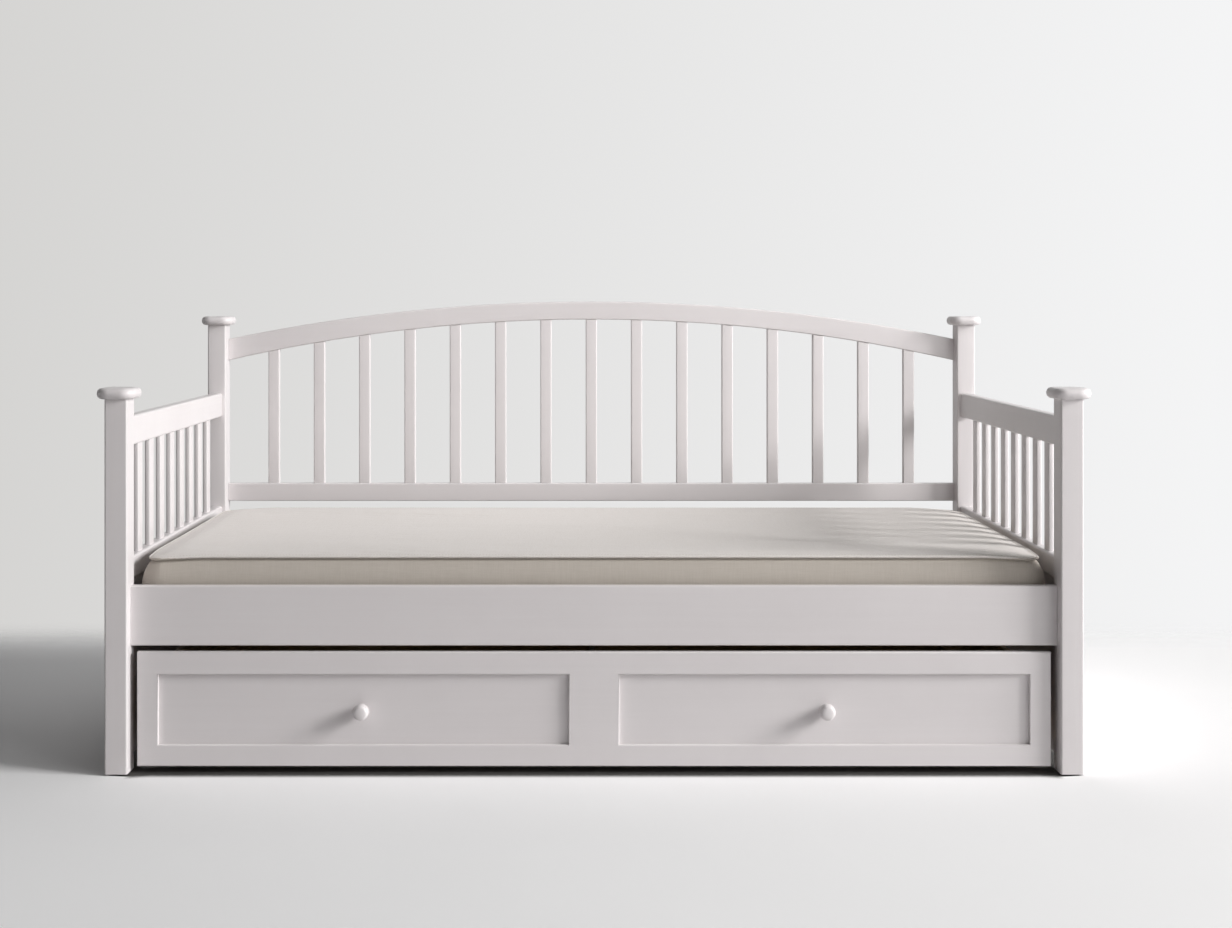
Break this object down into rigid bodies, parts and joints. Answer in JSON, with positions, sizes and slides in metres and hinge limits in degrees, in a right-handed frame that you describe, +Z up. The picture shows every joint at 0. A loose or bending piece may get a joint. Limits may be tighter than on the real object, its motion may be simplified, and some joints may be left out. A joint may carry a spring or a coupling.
{
  "type": "storage daybed",
  "caption": "Painted daybed with an arched spindle back, two spindle arms, a single mattress on slats and one wide drawer on casters under it.",
  "frame": {"origin": "on the floor, under the middle of the bed's overall box", "axes": "+X along the bed to the right as seen from the front, -Y to the front (the side the drawer opens to), +Z up"},
  "size_m": [2.066, 1.124, 0.985],
  "materials": {
    "satin_paint": "warm white satin paint on wood, with faint brush lines",
    "drawer_board": "lacquered birch plywood",
    "bare_wood": "planed softwood, unpainted",
    "mattress_cover": "woven cotton cover in warm off-white, with piping",
    "glide_plastic": "dark moulded plastic",
    "wheel_plastic": "dark grey moulded plastic",
    "zinc_steel": "zinc-plated pressed steel"
  },
  "bodies": {
    "frame": {"front_left_post": "satin_paint", "front_right_post": "satin_paint", "rear_left_post": "satin_paint", "rear_right_post": "satin_paint", "front_left_post_cap": "satin_paint", "front_right_post_cap": "satin_paint", "rear_left_post_cap": "satin_paint", "rear_right_post_cap": "satin_paint", "front_left_glide": "glide_plastic", "front_right_glide": "glide_plastic", "rear_left_glide": "glide_plastic", "rear_right_glide": "glide_plastic", "left_arm_top_rail": "satin_paint", "right_arm_top_rail": "satin_paint", "left_arm_spindle_frame": "satin_paint", "right_arm_spindle_frame": "satin_paint", "left_end_panel": "satin_paint", "right_end_panel": "satin_paint", "front_rail": "satin_paint", "rear_rail": "satin_paint", "front_slat_cleat": "bare_wood", "rear_slat_cleat": "bare_wood", "slat_roll": "bare_wood", "back_arch_rail": "satin_paint", "back_lower_rail": "satin_paint", "back_spindle_01": "satin_paint", "back_spindle_02": "satin_paint", "back_spindle_03": "satin_paint", "back_spindle_04": "satin_paint", "back_spindle_05": "satin_paint", "back_spindle_06": "satin_paint", "back_spindle_07": "satin_paint", "back_spindle_08": "satin_paint", "back_spindle_09": "satin_paint", "back_spindle_10": "satin_paint", "back_spindle_11": "satin_paint", "back_spindle_12": "satin_paint", "back_spindle_13": "satin_paint", "back_spindle_14": "satin_paint", "back_spindle_15": "satin_paint", "drawer_stop_rail": "satin_paint"},
    "drawer": {"drawer_front_frame": "satin_paint", "drawer_left_panel": "satin_paint", "drawer_right_panel": "satin_paint", "drawer_left_knob": "satin_paint", "drawer_right_knob": "satin_paint", "drawer_left_side": "drawer_board", "drawer_right_side": "drawer_board", "drawer_back": "drawer_board", "drawer_bottom": "drawer_board", "drawer_divider": "drawer_board", "caster_bracket_front_left": "zinc_steel", "caster_bracket_front_right": "zinc_steel", "caster_bracket_rear_left": "zinc_steel", "caster_bracket_rear_right": "zinc_steel"},
    "mattress": {"mattress": "mattress_cover"},
    "wheel_front_left": {"caster_wheel_front_left": "wheel_plastic"},
    "wheel_front_right": {"caster_wheel_front_right": "wheel_plastic"},
    "wheel_rear_left": {"caster_wheel_rear_left": "wheel_plastic"},
    "wheel_rear_right": {"caster_wheel_rear_right": "wheel_plastic"}
  },
  "joints": [
    {"name": "drawer_slide", "type": "slide", "parent": "frame", "child": "drawer", "axis": [0, -1, 0], "range_m": [0, 0.9]},
    {"name": "mattress_lift", "type": "slide", "parent": "frame", "child": "mattress", "axis": [0, 0, 1], "range_m": [0, 0.45]},
    {"name": "wheel_spin_front_left", "type": "hinge", "parent": "drawer", "child": "wheel_front_left", "pos_m": [-0.865, -0.4197, 0.02], "axis": [1, 0, 0], "continuous": true},
    {"name": "wheel_spin_front_right", "type": "hinge", "parent": "drawer", "child": "wheel_front_right", "pos_m": [0.865, -0.4197, 0.02], "axis": [1, 0, 0], "continuous": true},
    {"name": "wheel_spin_rear_left", "type": "hinge", "parent": "drawer", "child": "wheel_rear_left", "pos_m": [-0.865, 0.4097, 0.02], "axis": [1, 0, 0], "continuous": true},
    {"name": "wheel_spin_rear_right", "type": "hinge", "parent": "drawer", "child": "wheel_rear_right", "pos_m": [0.865, 0.4097, 0.02], "axis": [1, 0, 0], "continuous": true}
  ],
  "couplings": [
    {"joint": "wheel_spin_front_left", "follows": "drawer_slide", "rad_per_m": 50},
    {"joint": "wheel_spin_front_right", "follows": "drawer_slide", "rad_per_m": 50},
    {"joint": "wheel_spin_rear_left", "follows": "drawer_slide", "rad_per_m": 50},
    {"joint": "wheel_spin_rear_right", "follows": "drawer_slide", "rad_per_m": 50}
  ]
}
